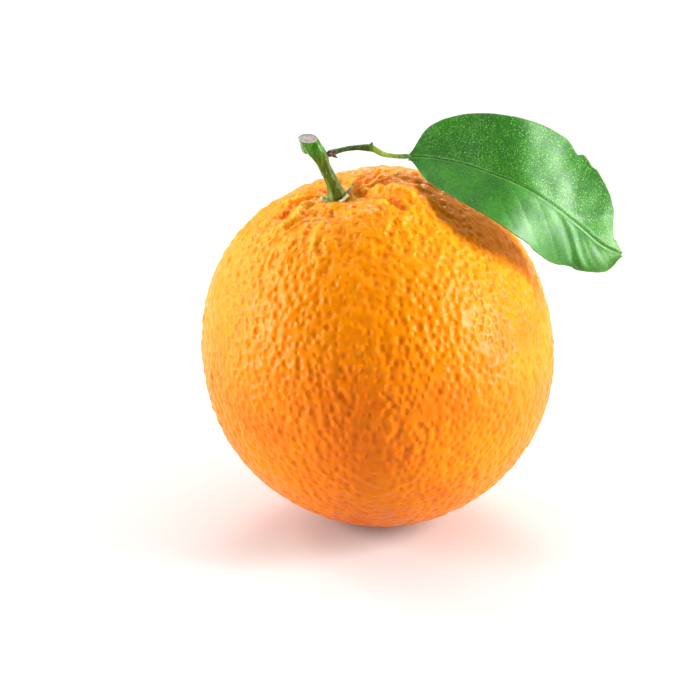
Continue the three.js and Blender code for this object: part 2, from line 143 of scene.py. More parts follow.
# The cut, from its rim of bark, which stands a little proud, inwards: share of the radius, height.
CUT_PROFILE = [
    (0.965, 0.0), (0.93, -0.05), (0.89, -0.13), (0.8, -0.17), (0.6, -0.16), (0.4, -0.13), (0.2, -0.1)
]
SCAR_PROUD = 0.15
TWIG_RINGS = np.array([0.06, 0.1, 0.15])  # shares of its length, near its root
TWIG_SUNK = Sizes(stem=0.9, leaf=1.2)  # how far its ends reach into the stem and the leaf
BUD_LOOK = Sizes(girth=1.25, offset=(0.05, 0, 0.6), pointing=unit(0.3, 0, 0.95))

LEAF_BLADE = 0.36  # thickness
LEAF_LENGTH = 57.0
LEAF_VEINS = Sizes(spacing=6.2, lean=1.15, depth=0.008, width=0.28)
LEAF_WAVE = [0, 0, 0.3, 0.8, 1.4, 1.9, 1.6, 0.1, -1.7, -2.4, -2.1, -1.4]  # how far it swings out, base to tip
LEAF_WAVE_LEAN = 0.7
LEAF_WAVE_HEADING = unit(0.0, -0.94, 0.34)
LEAF_TIP_CURL = 0.4  # how much the lower half turns back near the tip, as a slope
# Creases across the leaf near its tip: where each starts on the midrib, its side, height and width.
LEAF_CREASES = [
    (36.4, -1, -0.17, 1.1), (38.9, -1, 0.15, 1.0), (41.3, -1, -0.09, 1.0),
    (47.5, -1, -0.1, 1.2), (39.0, 1, -0.15, 1.3),
]


# ---- Shape helpers ----

def hill(distance, spread):
    return np.exp(-((distance / spread) ** 2))


def smoothstep(value, low, high):
    t = np.clip((value - low) / (high - low), 0, 1)
    return t * t * (3 - 2 * t)


def spline(values, shares, mirrored_ends=False):
    """The smooth curve through evenly spaced values or points, at shares of the way along."""
    values = np.asarray(values, float)
    first = 2 * values[0] - values[1] if mirrored_ends else values[0]
    last = 2 * values[-1] - values[-2] if mirrored_ends else values[-1]
    padded = np.concatenate([[first], values, [last]])
    place = np.clip(np.asarray(shares, float), 0, 1) * (len(values) - 1)
    i = np.minimum(place.astype(int), len(values) - 2)
    t = place - i
    if values.ndim > 1:
        t = t[..., None]
    before, start, end, after = (padded[i + k] for k in range(4))
    leaving, arriving = (end - before) / 2, (after - start) / 2
    return (
        (2 * t**3 - 3 * t**2 + 1) * start
        + (t**3 - 2 * t**2 + t) * leaving
        + (3 * t**2 - 2 * t**3) * end
        + (t**3 - t**2) * arriving
    )


class Route:
    """A centreline through points, read at shares of its length."""

    def __init__(self, points):
        self.points = np.asarray(points, float)
        self.places = np.linspace(0, 1, 401)
        steps = np.diff(spline(self.points, self.places, True), axis=0)
        lengths = np.concatenate([[0], np.cumsum(np.linalg.norm(steps, axis=1))])
        self.length = lengths[-1]
        self.shares = lengths / self.length

    def at(self, shares):
        return spline(self.points, np.interp(shares, self.shares, self.places), True)

    def heading(self, shares):
        step = 1e-3
        low = np.clip(np.asarray(shares, float) - step, 0, 1 - 2 * step)
        along = self.at(low + 2 * step) - self.at(low)
        return along / np.linalg.norm(along, axis=-1, keepdims=True)


def ripples(points, shortest, longest, rng, waves=48):
    """Smooth noise: many plane waves with lengths between two and seeded headings. Its spread is about 1."""
    headings = rng.normal(size=(waves, 3))
    headings /= np.linalg.norm(headings, axis=1, keepdims=True)
    lengths = rng.uniform(shortest, longest, waves)
    turns = rng.uniform(0, TAU, waves)
    return np.cos(points @ (headings * (TAU / lengths)[:, None]).T + turns).sum(axis=1) / math.sqrt(waves / 2)


def grid_faces(rows, columns, wrapped, start=0):
    """Quads over rows x columns points that are stored row by row."""
    i, j = np.meshgrid(np.arange(rows - 1), np.arange(columns if wrapped else columns - 1), indexing="ij")
    row, right = i * columns, (j + 1) % columns
    quads = np.stack([row + j, row + right, row + columns + right, row + columns + j], -1)
    return (quads.reshape(-1, 4) + start).tolist()


def make_piece(name, points, faces, material, slot, *nodes):
    """A smooth-shaded mesh that rides on the root body and stands for its solids."""
    mesh = bpy.data.meshes.new(name)
    mesh.from_pydata((np.asarray(points) * MM).tolist(), [], faces)
    mesh.validate()
    mesh.polygons.foreach_set("use_smooth", np.ones(len(mesh.polygons), bool))
    mesh.materials.append(material)
    piece = bpy.data.objects.new(name, mesh)
    bpy.context.collection.objects.link(piece)
    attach(piece, "root")
    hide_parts(*nodes)
    return piece


def add_attribute(piece, name, values, domain="POINT"):
    values = np.asarray(values, np.float32)
    kind, field = ("FLOAT_VECTOR", "vector") if values.ndim > 1 else ("FLOAT", "value")
    piece.data.attributes.new(name, kind, domain).data.foreach_set(field, values.ravel())


# ---- The rind, in the fruit's own frame: centre at the origin, stem end towards +Z ----

def turned_from(heading, azimuth):
    """The angle from a heading to an azimuth, from minus to plus half a turn."""
    turned = azimuth - heading
    return np.arctan2(np.sin(turned), np.cos(turned))


def aside_of(heading, polar, azimuth):
    """How far aside of a line of one heading a place on the rind lies."""
    return turned_from(heading, azimuth) * np.sin(polar) * EQUATOR_RADIUS


def furrow_depth(polar, azimuth):
    """The furrows' depth. Sines of a furrow's number make it differ from the others."""
    depth = 0
    begin = smoothstep(polar, FURROWS.start, 2 * FURROWS.start)
    for k in range(FURROWS.count):
        even_place = k + FURROWS.wander * math.sin(2.4 * k)
        heading = TAU * even_place / FURROWS.count + FURROWS.bend * math.sin(1.9 * k) * polar
        aside = aside_of(heading, polar, azimuth)
        reach = FURROWS.reach * (0.75 + 0.25 * math.sin(3.1 * k + 0.5))
        end = 1 - smoothstep(polar, 0.35 * reach, reach)
        strength = 0.75 + 0.25 * math.sin(1.3 * k + 1) + FURROWS.deeper_behind * np.sin(heading)
        depth = depth + FURROWS.depth * strength * begin * end * hill(aside, FURROWS.width)
    return depth


def fold_height(polar, azimuth, narrowing=1.0):
    total = 0
    for height, width, path in FOLDS:
        polars, headings = zip(*path)
        begin = smoothstep(polar, 0.5 * polars[0], 1.5 * polars[0])
        end = 1 - smoothstep(polar, polars[-2] - FOLD_FADE, polars[-1])
        aside = aside_of(np.interp(polar, polars, headings), polar, azimuth)
        total = total + height * begin * end * hill(aside, width * narrowing)
    return total


def body_radius(polar, azimuth):
    """The rind without its furrows and folds."""
    from_blossom = math.pi - polar
    body = 1 / np.hypot(np.sin(polar) / EQUATOR_RADIUS, np.cos(polar) / POLE_RADIUS)
    shoulder = SHOULDER.height + SHOULDER.lift * np.cos(azimuth - SHOULDER.heading)
    lumps = sum(
        height * np.sin(around * azimuth + turn) * np.sin(polar) ** around * np.cos(polar + turn)
        for around, height, turn in LUMPS
    )
    return (
        body
        + shoulder * hill(polar - SHOULDER.polar, SHOULDER.spread)
        - STEM_DIMPLE.depth * hill(polar, STEM_DIMPLE.spread)
        - BLOSSOM_DIMPLE.depth * hill(from_blossom, BLOSSOM_DIMPLE.spread)
        + BLOSSOM_SCAR.height * hill(from_blossom, BLOSSOM_SCAR.spread)
        + lumps
    )


def rind_radius(polar, azimuth):
    return body_radius(polar, azimuth) + fold_height(polar, azimuth) - furrow_depth(polar, azimuth)


def angles_of(directions):
    return np.arccos(np.clip(directions[:, 2], -1, 1)), np.arctan2(directions[:, 1], directions[:, 0])


def directions_of(polar, azimuth):
    return np.stack([np.sin(polar) * np.cos(azimuth), np.sin(polar) * np.sin(azimuth), np.cos(polar)], axis=1)


def rind_points(directions, lift=0.0):
    """The points of the rind in given directions from its centre, lifted off it."""
    return directions * (rind_radius(*angles_of(directions)) + lift)[:, None]


def globe(splits):
    """Directions and triangles of an even globe: an icosahedron with each face split alike."""
    golden = (1 + math.sqrt(5)) / 2
    corners = np.array([
        (-1, golden, 0), (1, golden, 0), (-1, -golden, 0), (1, -golden, 0),
        (0, -1, golden), (0, 1, golden), (0, -1, -golden), (0, 1, -golden),
        (golden, 0, -1), (golden, 0, 1), (-golden, 0, -1), (-golden, 0, 1),
    ])
    faces = [
        (0, 11, 5), (0, 5, 1), (0, 1, 7), (0, 7, 10), (0, 10, 11),
        (1, 5, 9), (5, 11, 4), (11, 10, 2), (10, 7, 6), (7, 1, 8),
        (3, 9, 4), (3, 4, 2), (3, 2, 6), (3, 6, 8), (3, 8, 9),
        (4, 9, 5), (2, 4, 11), (6, 2, 10), (8, 6, 7), (9, 8, 1),
    ]
    i, j = np.array([(i, j) for i in range(splits + 1) for j in range(splits + 1 - i)]).T
    row_start = np.concatenate([[0], np.cumsum(splits + 1 - np.arange(splits + 1))])
    place = {(a, b): row_start[a] + b for a, b in zip(i.tolist(), j.tolist())}
    small = [
        (place[a, b], place[a + 1, b], place[a, b + 1]) for a, b in place if a + b < splits
    ] + [
        (place[a + 1, b], place[a + 1, b + 1], place[a, b + 1]) for a, b in place if a + b < splits - 1
    ]
    small = np.array(small)
    points, triangles = [], []
    for n, face in enumerate(faces):
        a, b, c = corners[list(face)]
        points.append(np.outer(splits - i - j, a) + np.outer(i, b) + np.outer(j, c))
        triangles.append(small + n * len(i))
    points = np.concatenate(points)
    points /= np.linalg.norm(points, axis=1, keepdims=True)
    # Points on an edge between two faces are merged.
    _, first, merged = np.unique(np.round(points, 7), axis=0, return_index=True, return_inverse=True)
    return points[first], merged.ravel()[np.concatenate(triangles)]


def scattered_directions(count, rng):
    """Directions spread over the globe as loosely as oil glands: a spiral, jittered and then eased apart."""
    k = np.arange(count) + 0.5
    z, turn = 1 - 2 * k / count, k * TAU * SPIRAL_STEP
    flat = np.sqrt(1 - z * z)
    directions = np.stack([flat * np.cos(turn), flat * np.sin(turn), z], axis=1)
    spacing = math.sqrt(4 * math.pi / count)
    directions += rng.normal(scale=0.38 * spacing, size=directions.shape)
    for _ in range(3):
        directions /= np.linalg.norm(directions, axis=1, keepdims=True)
        tree = tree_of(directions)
        pushes = np.zeros_like(directions)
        for n, direction in enumerate(directions):
            for near, other, distance in tree.find_n(direction, 7):
                if other != n and distance < spacing:
                    crowding = spacing / max(distance, 0.1 * spacing) - 1
                    pushes[n] += (direction - np.array(near)) * crowding * 0.3
        directions += pushes
    return directions / np.linalg.norm(directions, axis=1, keepdims=True)


def tree_of(points):
    tree = kdtree.KDTree(len(points))
    for n, point in enumerate(points):
        tree.insert(point, n)
    tree.balance()
    return tree


def nearest(tree, points):
    """The index of the nearest stored point, and the distance to it, for each point."""
    found = [tree.find(point)[1:] for point in points.tolist()]
    return np.array([index for index, _ in found]), np.array([distance for _, distance in found])


# The fruit stands at the height at which a slice of the resting depth is cut off its lowest point.
LEAN = np.array(Vector(STEM_END).rotation_difference(Vector(STEM_AXIS)).to_matrix())
coarse_directions = globe(24)[0]
CENTRE = np.array([0, 0, -(rind_points(coarse_directions) @ LEAN.T)[:, 2].min() - REST_DEPTH])


def from_fruit(points):
    """From the fruit's own frame to the part's."""
    return points @ LEAN.T + CENTRE


def rind_mesh(pit_directions, pits):
    """Directions and triangles of the rind, closer together at the stem end, and the vertex in each pit."""
    directions, triangles = globe(RIND_SPLITS)
    polar, azimuth = angles_of(directions)
    directions = directions_of(polar - GATHERING * np.sin(polar), azimuth)
    # The vertex nearest to each pit moves onto it, so that no pit falls between vertices.
    middles, _ = nearest(tree_of(rind_points(directions)), pits)
    directions[middles] = pit_directions
    return directions, triangles, middles


def crumple_height(polar, azimuth, rng):
    """Thin crests round the stem end: noise that is drawn out along the rind."""
    around = np.stack([np.cos(azimuth), np.sin(azimuth)], axis=1) * CRUMPLES.around
    drawn_out = np.column_stack([around, CRUMPLES.along * EQUATOR_RADIUS * polar])
    crumple = 0.6 - np.minimum(np.abs(ripples(drawn_out, *CRUMPLES.waves, rng)), 1.6)
    near_stem = 1 - smoothstep(polar, 0.35, 1.1)
    return CRUMPLES.height * crumple * near_stem * smoothstep(polar, 0.1, 0.22)


def collar_height(polar, azimuth):
    around = hill(turned_from(COLLAR.heading, azimuth), COLLAR.around)
    return COLLAR.height * around * hill(polar - COLLAR.polar, COLLAR.spread)


def wrinkle_depth(polar, azimuth, rng):
    """Finer wrinkles between the furrows, round the stem end."""
    depth = 0
    for k in range(WRINKLES.count):
        heading = TAU * (k + rng.uniform(-0.35, 0.35)) / WRINKLES.count
        aside = aside_of(heading, polar, azimuth)
        start = rng.uniform(*WRINKLES.starts)
        reach = WRINKLES.reach * rng.uniform(0.6, 1.25)
        fade = smoothstep(polar, start, start + 0.08) * (1 - smoothstep(polar, 0.5 * reach, reach))
        depth = depth + WRINKLES.depth * rng.uniform(0.4, 1) * fade * hill(aside, WRINKLES.width)
    return depth


def make_rind():
    rng = np.random.default_rng(11)
    pit_directions = scattered_directions(PITS.count, rng)
    pits = rind_points(pit_directions)
    pit_sizes = rng.uniform(*PITS.sizes, len(pits))
    directions, triangles, middles = rind_mesh(pit_directions, pits)
    polar, azimuth = angles_of(directions)
    base = rind_points(directions)
    owner, distance = nearest(tree_of(pits), base)
    bowl = PITS.depth * pit_sizes[owner] * hill(distance, PITS.spread * np.sqrt(pit_sizes[owner]))
    bowl *= smoothstep(polar, *PITS.start)
    pebble = PEBBLES.height * ripples(base, *PEBBLES.waves, rng)
    pebble += crumple_height(polar, azimuth, rng)
    # Furrows and folds wander from their lines and break up along them.
    wander = WANDER.aside * ripples(base, *WANDER.waves, rng)
    wandering = azimuth + wander / (EQUATOR_RADIUS * np.sin(polar) + 1)
    broken = 1 + BREAKS.share * ripples(base, *BREAKS.waves, rng)
    folds = FOLD_LOOK.boost * fold_height(polar, wandering, FOLD_LOOK.narrowing) * broken
    folds -= furrow_depth(polar, wandering) * broken
    wrinkle = wrinkle_depth(polar, wandering, rng)
    radius = body_radius(polar, azimuth) + folds + collar_height(polar, azimuth) - bowl + pebble - wrinkle
    points = from_fruit(directions * radius[:, None])
    points[:, 2] = np.maximum(points[:, 2], 0)

    piece = make_piece("rind", points, triangles.tolist(), rind_material(), "rind", "fruit")
    # Each face knows the pit that it belongs to, so that the material can draw the pit round its true centre.
    face_owner, _ = nearest(tree_of(pits), base[triangles].mean(axis=1))
    sunk = np.zeros(len(pits))
    sunk[owner[middles]] = (rind_radius(polar, azimuth) - radius)[middles]
    centres = pit_directions * (np.linalg.norm(pits, axis=1) - sunk)[:, None]
    add_attribute(piece, "pit_centre", from_fruit(centres)[face_owner] * MM, "FACE")
    add_attribute(piece, "pit_size", pit_sizes[face_owner], "FACE")
    add_attribute(piece, "from_stem", polar / math.pi)
    add_attribute(piece, "relief", folds + pebble - wrinkle)


# ---- Materials ----

class Nodes:
    """A material's node tree, with a short call for each kind of node that is used."""

    def __init__(self, name):
        self.material = bpy.data.materials.new(name)
        self.material.use_nodes = True
        self.tree = self.material.node_tree
        self.shader = self.tree.nodes["Principled BSDF"]

    def node(self, kind, inputs=None, **settings):
        made = self.tree.nodes.new("ShaderNode" + kind)
        for name, value in settings.items():
            setattr(made, name, value)
        for key, value in (inputs or {}).items():
            self.put(made.inputs[key], value)
        return made

    def put(self, socket, value):
        if isinstance(value, bpy.types.NodeSocket):
            self.tree.links.new(value, socket)
        else:
            socket.default_value = value

    def finish(self, **inputs):
        """Sets the shader's inputs, named in small letters with underscores."""
        for name, value in inputs.items():
            self.put(self.shader.inputs[name.replace("_", " ").title().replace("Ior", "IOR")], value)
        return self.material

    def place(self):
        return self.node("TexCoord").outputs["Object"]

    def attribute(self, name, output="Fac"):
        return self.node("Attribute", attribute_name=name).outputs[output]

    def noise(self, scale, detail=2.0, roughness=0.5, vector=None):
        inputs = {"Scale": scale, "Detail": detail, "Roughness": roughness, "Vector": vector or self.place()}
        return self.node("TexNoise", inputs).outputs["Fac"]

    def cells(self, scale, vector=None, dimensions="3D"):
        inputs = {"Scale": scale, "Vector": vector or self.place()}
        return self.node("TexVoronoi", inputs, voronoi_dimensions=dimensions).outputs["Distance"]

    def math(self, operation, a, b=0.0):
        return self.node("Math", {0: a, 1: b}, operation=operation).outputs[0]

    def times(self, a, b):
        return self.math("MULTIPLY", a, b)

    def vector(self, operation, a, b=(0.0, 0.0, 0.0)):
        made = self.node("VectorMath", {0: a, 1: b}, operation=operation)
        return made.outputs["Value" if operation == "LENGTH" else "Vector"]

    def fit(self, value, low, high, to_low=0.0, to_high=1.0):
        """value between low and high, carried smoothly to a new range."""
        inputs = {"Value": value, "From Min": low, "From Max": high, "To Min": to_low, "To Max": to_high}
        return self.node("MapRange", inputs, interpolation_type="SMOOTHSTEP").outputs["Result"]

    def mix(self, share, a, b):
        """A mix of two colours. One that is given as a tuple is as it shows on a screen, 0 to 255."""
        a, b = (colour(*value) if isinstance(value, tuple) else value for value in (a, b))
        return self.node("Mix", {"Factor": share, 6: a, 7: b}, data_type="RGBA").outputs[2]

    def blend(self, share, a, b):
        return self.node("Mix", {"Factor": share, "A": a, "B": b}).outputs["Result"]

    def bump(self, height, depth, under=None):
        """A normal from a height of 0 to 1, which stands for that depth in millimetres."""
        inputs = {"Height": height, "Distance": depth * MM, "Strength": 1.0}
        if under:
            inputs["Normal"] = under
        return self.node("Bump", inputs).outputs["Normal"]


def colour(red, green, blue):
    """The light values that shaders use for a colour that is given as it shows on a screen."""
    shares = (red / 255, green / 255, blue / 255)
    return (*(c / 12.92 if c <= 0.04045 else ((c + 0.055) / 1.055) ** 2.4 for c in shares), 1.0)


# Bumps of the rind: the noise's scale, detail and roughness, and the depth.
RIND_GRAIN = [(2600, 2, 0.6, 0.012), (1200, 1, 0.5, 0.035), (620, 2, 0.5, 0.12)]


def rind_material():
    n = Nodes("orange_rind")
    from_stem, relief = n.attribute("from_stem"), n.attribute("relief")
    from_pit = n.vector("SUBTRACT", n.place(), n.attribute("pit_centre", "Vector"))
    from_pit = n.vector("LENGTH", n.vector("MULTIPLY", from_pit, (1.0, 1.0, 0.7)))  # pits are a little tall
    from_pit = n.math("DIVIDE", from_pit, n.attribute("pit_size"))
    bowl = n.fit(from_pit, 0.0002, 0.0009, 1.0, 0.0)
    blotch = n.fit(n.noise(70, 3, 0.55), 0.32, 0.68)
    skin = n.mix(blotch, (230, 113, 0), (237, 129, 0))
    skin = n.mix(n.fit(from_stem, 0.5, 0.15), skin, (240, 143, 0))
    # Painted shade: each pit is drawn a deeper orange towards its middle.
    skin = n.mix(n.times(bowl, 0.2), skin, (232, 104, 0))
    # Painted shade and painted highlight: the low places of the relief are drawn a deeper orange and its crests
    # a pale yellow.
    skin = n.mix(n.fit(relief, -0.1, -0.9, 0.0, 0.35), skin, (234, 100, 0))
    skin = n.mix(n.fit(relief, 0.12, 0.8, 0.0, 0.5), skin, (247, 190, 40))
    green = n.times(n.fit(from_stem, 0.2, 0.06), n.fit(n.noise(260), 0.45, 0.7))
    skin = n.mix(n.times(green, 0.3), skin, (206, 176, 30))
    normal = None
    for scale, detail, roughness, depth in RIND_GRAIN:
        normal = n.bump(n.noise(scale, detail, roughness), depth, normal)
    normal = n.bump(n.fit(from_pit, 0.0002, 0.00092), 0.11, normal)
    # Fine crinkles at the stem end, where the noise crosses its middle level.
    from_middle = n.math("ABSOLUTE", n.math("SUBTRACT", n.noise(330), 0.5))
    crinkle = n.times(n.fit(from_middle, 0.0, 0.1, 1.0, 0.0), n.fit(from_stem, 0.26, 0.1))
    return n.finish(
        base_color=skin,
        roughness=n.fit(n.noise(480, 3), 0.3, 0.7, 0.28, 0.38),
        normal=n.bump(crinkle, 0.17, normal),
        subsurface_weight=0.4, subsurface_radius=(1.0, 0.36, 0.08), subsurface_scale=0.0012,
        ior=1.22,
    )


# ---- The calyx ----

def make_calyx():
    rings, around = 26, 160
    rng = np.random.default_rng(5)
    shares, turns = np.linspace(0, 1, rings)[1:], np.arange(around) * TAU / around
    share, azimuth = (grid.ravel() for grid in np.meshgrid(shares, turns, indexing="ij"))
    turned = azimuth - CALYX.heading
    lobe = (0.5 + 0.5 * np.cos(CALYX.lobes * turned)) ** STAR.bluntness
    ragged = 1 + 0.035 * np.sin(17 * azimuth + 1) + 0.025 * np.sin(29 * azimuth)
    reach = CALYX.reach * (CALYX.waist + (1 - CALYX.waist) * lobe)
    reach *= 1 + CALYX.skew * np.sin(azimuth)
    flat = directions_of(share * reach * ragged / POLE_RADIUS, azimuth)
    # The right-hand sepals stand up.
    curl = CALYX.curl * (0.5 + 0.5 * np.cos(azimuth - STAR.curl_heading)) ** 2
    underside = STAR.lift + curl * share**3 * lobe**0.35
    rough = 0.07 * ripples(flat * POLE_RADIUS, 0.7, 1.8, rng)
    ridge = 0.22 * hill(np.sin(CALYX.lobes * turned / 2), 0.2) * share
    thickness = STAR.middle * (1 - smoothstep(share, 0.75, 1.0)) + STAR.edge
    low = rind_points(flat, underside)
    high = rind_points(flat, underside + thickness + (rough + ridge) * (1 - share**6))
    middle = rind_points(np.array([STEM_END] * 2), np.array([STAR.lift, 1.0]))
    points = from_fruit(np.concatenate([high, low, middle]))

    count = len(high)
    faces = [face[::-1] for face in grid_faces(rings - 1, around, True)]
    faces += grid_faces(rings - 1, around, True, count)
    faces += [(b, a, 2 * count + 1) for a, b in neighbours(0, around)]
    faces += [(a, b, 2 * count) for a, b in neighbours(count, around)]
    faces += [(b + count, a + count, a, b) for a, b in neighbours(count - around, around)]
    piece = make_piece("calyx_star", points, faces, calyx_material(), "calyx", "calyx")
    add_attribute(piece, "out", np.concatenate([share, share, [0, 0]]))


def calyx_material():
    n = Nodes("calyx_skin")
    out = n.attribute("out")
    patch = n.fit(n.noise(700, 3, 0.6), 0.35, 0.65)
    green = n.mix(patch, (104, 128, 34), (150, 168, 74))
    pale = n.mix(patch, (176, 182, 112), (214, 208, 160))
    uneven_out = n.math("ADD", out, n.fit(n.noise(380), 0.3, 0.7, -0.18, 0.18))
    skin = n.mix(n.fit(uneven_out, 0.55, 0.9), green, pale)
    skin = n.mix(n.fit(out, 0.93, 1.0, 0.0, 0.7), skin, (128, 96, 46))
    normal = n.bump(n.noise(2400, 3, 0.6), 0.06)
    return n.finish(base_color=skin, roughness=n.fit(patch, 0, 1, 0.5, 0.7), normal=normal)


# ---- Round bodies: the stem and the twig ----

def cross_directions(headings, reference):
    """Two directions across a route at each of its points, the first as near as can be to a reference."""
    first = reference - headings * (headings @ reference)[:, None]
    first /= np.linalg.norm(first, axis=1, keepdims=True)
    return first, np.cross(headings, first)


def shaft(route, radii, rows, around, relief, ends=None):
    """Points of a round body, row by row, and their shares. ends gives each column its own last share."""
    shares = np.linspace(0, 1, rows)[:, None] * (np.ones(around) if ends is None else ends)
    angle = np.broadcast_to(np.arange(around) * TAU / around, shares.shape)
    flat, turn = shares.ravel(), angle.ravel()
    first, second = cross_directions(route.heading(flat), np.array([0.0, 1.0, 0.0]))
    radius = spline(radii, flat) + relief(flat, turn)
    outwards = np.cos(turn)[:, None] * first + np.sin(turn)[:, None] * second
    return route.at(flat) + radius[:, None] * outwards, flat


def neighbours(first, around):
    """Each point of a ring that is numbered from first, with the next one round."""
    return [(first + k, first + (k + 1) % around) for k in range(around)]


def closed_shaft(rows, around, start=0):
    """Faces of a round body whose two end rings close on the last two points."""
    low = start + rows * around
    faces = grid_faces(rows, around, True, start)
    faces += [(low, b, a) for a, b in neighbours(start, around)]
    faces += [(low + 1, a, b) for a, b in neighbours(low - around, around)]
    return faces


def outward(points, faces):
    """The faces turned so that they enclose a positive volume."""
    volume = 0
    for first, *rest in faces:
        for second, third in zip(rest, rest[1:]):
            volume += np.dot(points[first], np.cross(points[second], points[third]))
    return faces if volume > 0 else [face[::-1] for face in faces]


def knob(radius, length, centre, pointing, start, rng, around=20, rows=14):
    """A small rounded bump that tapers to one end: points and faces, numbered from start."""
    t = np.linspace(0, 1, rows)[1:-1]
    profile = radius * np.sin(math.pi * t**0.8) ** 0.75
    half = np.array(pointing) * length
    route = Route([centre - half, centre + half])
    first, second = cross_directions(route.heading(t), np.array([0.0, 0.6, 0.8]))
    angle = np.arange(around) * TAU / around
    outwards = np.cos(angle)[None, :, None] * first[:, None] + np.sin(angle)[None, :, None] * second[:, None]
    points = (route.at(t)[:, None] + profile[:, None, None] * outwards).reshape(-1, 3)
    points += 0.12 * radius * ripples(points, 0.5, 1.1, rng)[:, None] * unit(0.3, -0.8, 0.5)
    points = np.concatenate([points, route.at([0.0, 1.0])])
    return points, closed_shaft(len(t), around, start)


foot_lift = np.array([CALYX.lift + CALYX.thickness + 2 * GAP])
stem_foot = from_fruit(rind_points(np.array([STEM_END]), foot_lift))[0]
stem_route = Route([stem_foot] + [np.array(point) + CENTRE for point in STEM_ROUTE])
stem_node = stem_route.at([NODE.share])[0]
cut_point = np.array(STEM_CUT.point) + CENTRE


def stem_relief(share, turn):
    facets = 0.2 * (0.5 - np.abs(np.sin(2 * turn + 0.7 + 1.2 * share)))
    ribs = 0.03 * np.sin(9 * turn + 1 - 3 * share)
    flare = 0.3 * (1 - smoothstep(share, 0.0, 0.14)) * (1 + 0.35 * np.sin(5 * turn + 0.6))
    return facets * (1 - 0.6 * smoothstep(share, 0.5, 0.8)) + ribs + flare


def stem_side_points(rows, around):
    """The stem's side up to its slanted cut: points, their shares, and the share where each line ends."""
    fine_rows = 240
    tall, _ = shaft(stem_route, STEM_RADII, fine_rows, around, stem_relief)
    ahead = ((tall.reshape(fine_rows, around, 3) - cut_point) @ STEM_CUT.facing) > 0
    ends = np.where(ahead.any(axis=0), np.linspace(0, 1, fine_rows)[np.argmax(ahead, axis=0)], 1.0)
    points, share = shaft(stem_route, STEM_RADII, rows, around, stem_relief, ends)
    headings = stem_route.heading(ends)
    short = (cut_point - points[-around:]) @ STEM_CUT.facing / (headings @ STEM_CUT.facing)
    points[-around:] += short[:, None] * headings
    return points, share, ends


def swell_and_roughen(points, share, ends, rng):
    """Adds the swelling towards the twig and the grain of the bark."""
    from_swelling = np.linalg.norm(points - stem_node - 0.9 * TWIG_HEADING, axis=1)
    points += 0.45 * hill(from_swelling, 1.5)[:, None] * TWIG_HEADING
    grain = ripples(points * (1, 1, 0.4), 0.5, 1.3, rng)
    outwards = points - stem_route.at(share)
    outwards /= np.linalg.norm(outwards, axis=1, keepdims=True)
    below_cut = share < 0.98 * np.tile(ends, len(share) // len(ends))
    points += 0.035 * (grain * below_cut)[:, None] * outwards


def make_stem():
    rows, around = 150, 56
    rng = np.random.default_rng(21)
    side, share, ends = stem_side_points(rows, around)
    swell_and_roughen(side, share, ends, rng)
    rim = side[-around:]
    centre = rim.mean(axis=0)
    rings = []
    for inwards, height in CUT_PROFILE:
        ring = centre + (rim - centre) * inwards + STEM_CUT.facing * height
        rings.append(ring + 0.03 * ripples(ring, 0.4, 1.0, rng)[:, None] * STEM_CUT.facing)
    foot = stem_route.at([0.0]) - 1.6 * STEM_AXIS
    points = np.concatenate([side, *rings, foot, [centre - 0.1 * STEM_CUT.facing]])
    points[:around] += 0.15 * (foot - points[:around]) - STEM_SUNK * STEM_AXIS
    faces = outward(points, closed_shaft(rows + len(rings), around))
    count = len(points)

    scar_share = [LEAF_SCAR.share]
    scar_at = stem_route.at(scar_share)[0] - TWIG_HEADING * (LEAF_SCAR.aside + SCAR_PROUD)
    scar_along = stem_route.heading(scar_share)[0]
    scar, scar_faces = knob(LEAF_SCAR.radius, LEAF_SCAR.length, scar_at, scar_along, count, rng, 24, 18)
    points = np.concatenate([points, scar])
    faces += outward(points, scar_faces)
    piece = make_piece("cut_stem", points, faces, stem_material(), "stem", "stem")
    # On the cut, "cut" is the share of the way out to its rim. On the bark it is -1.
    cut_shares = np.repeat([inwards for inwards, _ in CUT_PROFILE], around)
    cut = np.concatenate([np.full(len(side), -1.0), cut_shares, [-1.0, 0.0], np.full(len(scar), -1.0)])
    along = np.concatenate([share, np.ones(len(cut_shares)), [0, 1], np.full(len(scar), LEAF_SCAR.share)])
    add_attribute(piece, "cut", cut)
    add_attribute(piece, "along", along)
    add_attribute(piece, "scar", np.concatenate([np.zeros(count), np.ones(len(scar))]))


